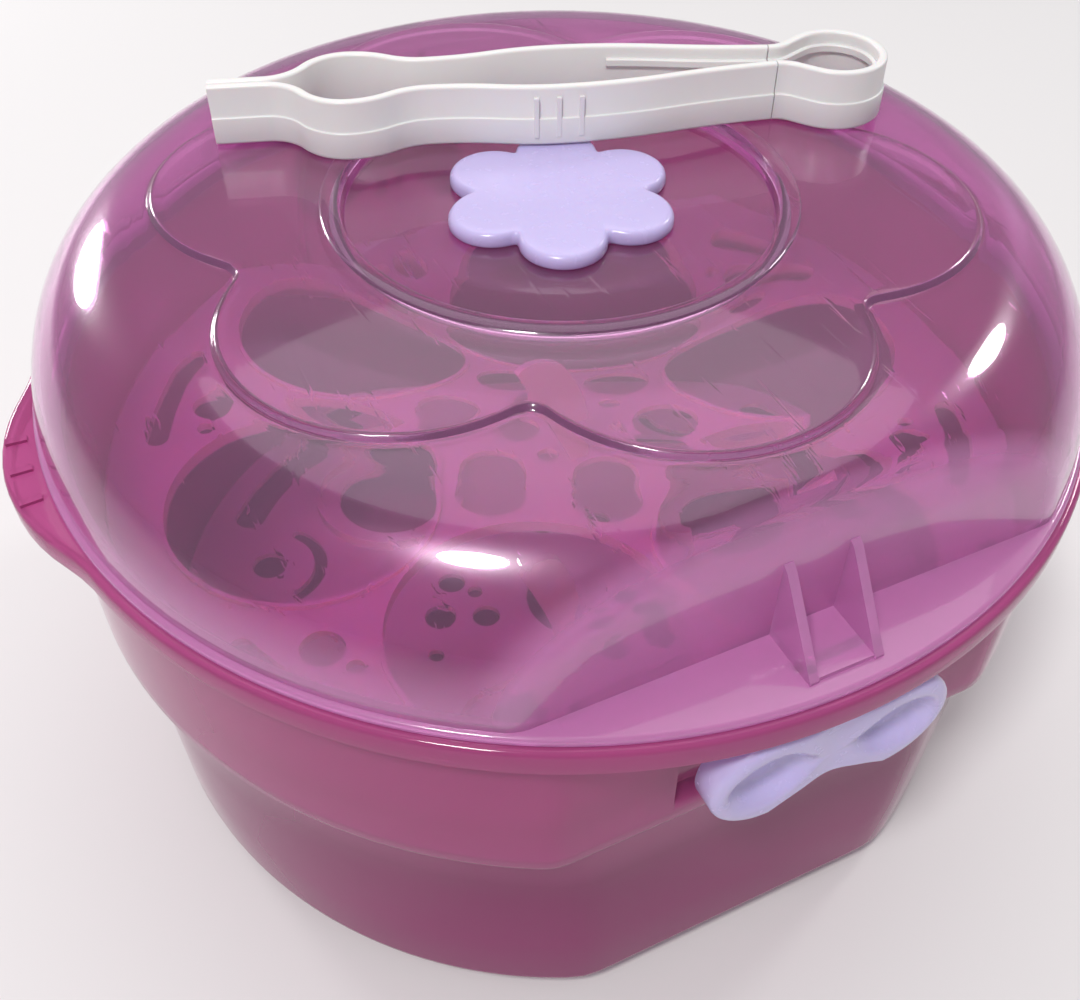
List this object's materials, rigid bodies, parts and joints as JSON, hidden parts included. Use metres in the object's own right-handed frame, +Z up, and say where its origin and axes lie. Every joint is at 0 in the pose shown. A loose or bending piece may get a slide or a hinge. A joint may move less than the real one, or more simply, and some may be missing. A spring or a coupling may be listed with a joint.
{
  "type": "microwave bottle sterilizer",
  "caption": "Round microwave steam sterilizer for feeding bottles: base pan, domed lid with side latches, bottle rack, lower rack and tongs.",
  "frame": {"origin": "centre of the footprint, on the surface that the pan stands on", "axes": "+Z up; the two latches stand at -Y and +Y, the grip tabs at -X and +X"},
  "size_m": [0.298, 0.284, 0.1935],
  "materials": {
    "pan_polypropylene": "translucent pink, moulded",
    "lid_polypropylene": "clear pink, moulded, gloss",
    "rack_polypropylene": "translucent pink, moulded",
    "badge_plastic": "opaque lavender, gloss",
    "latch_plastic": "opaque lavender, gloss",
    "tongs_polypropylene": "opaque white, satin"
  },
  "bodies": {
    "pan": {"base_pan": "pan_polypropylene"},
    "lid": {"lid": "lid_polypropylene", "flower_badge": "badge_plastic"},
    "front_latch": {"front_latch": "latch_plastic"},
    "rear_latch": {"rear_latch": "latch_plastic"},
    "upper_rack": {"upper_bottle_rack": "rack_polypropylene"},
    "lower_rack": {"lower_rack": "rack_polypropylene"},
    "tongs": {"tongs_loop": "tongs_polypropylene"},
    "tongs_near_arm": {"tongs_near_arm": "tongs_polypropylene"},
    "tongs_far_arm": {"tongs_far_arm": "tongs_polypropylene"}
  },
  "joints": [
    {"name": "lid_lift", "type": "slide", "parent": "pan", "child": "lid", "axis": [0, 0, 1], "range_m": [0, 0.06]},
    {"name": "front_latch_hinge", "type": "hinge", "parent": "pan", "child": "front_latch", "pos_m": [0, -0.1336, 0.11], "axis": [1, 0, 0], "range_deg": [0, 60]},
    {"name": "rear_latch_hinge", "type": "hinge", "parent": "pan", "child": "rear_latch", "pos_m": [0, 0.1336, 0.11], "axis": [-1, 0, 0], "range_deg": [0, 60]},
    {"name": "upper_rack_lift", "type": "slide", "parent": "pan", "child": "upper_rack", "axis": [0, 0, 1], "range_m": [0, 0.02]},
    {"name": "lower_rack_lift", "type": "slide", "parent": "pan", "child": "lower_rack", "axis": [0, 0, 1], "range_m": [0, 0.018]},
    {"name": "tongs_lift", "type": "slide", "parent": "lid", "child": "tongs", "axis": [0, 0, 1], "range_m": [0, 0.06]},
    {"name": "tongs_near_flex", "type": "hinge", "parent": "tongs", "child": "tongs_near_arm", "pos_m": [0.06833, 0.00835, 0.1855], "axis": [0, 0, 1], "range_deg": [0, 3.5], "stiffness_Nm_per_rad": 0.4},
    {"name": "tongs_far_flex", "type": "hinge", "parent": "tongs", "child": "tongs_far_arm", "pos_m": [0.07144, 0.01764, 0.1855], "axis": [0, 0, -1], "range_deg": [0, 3.5], "stiffness_Nm_per_rad": 0.4}
  ],
  "couplings": [
    {"joint": "tongs_far_flex", "follows": "tongs_near_flex", "ratio": 1}
  ]
}
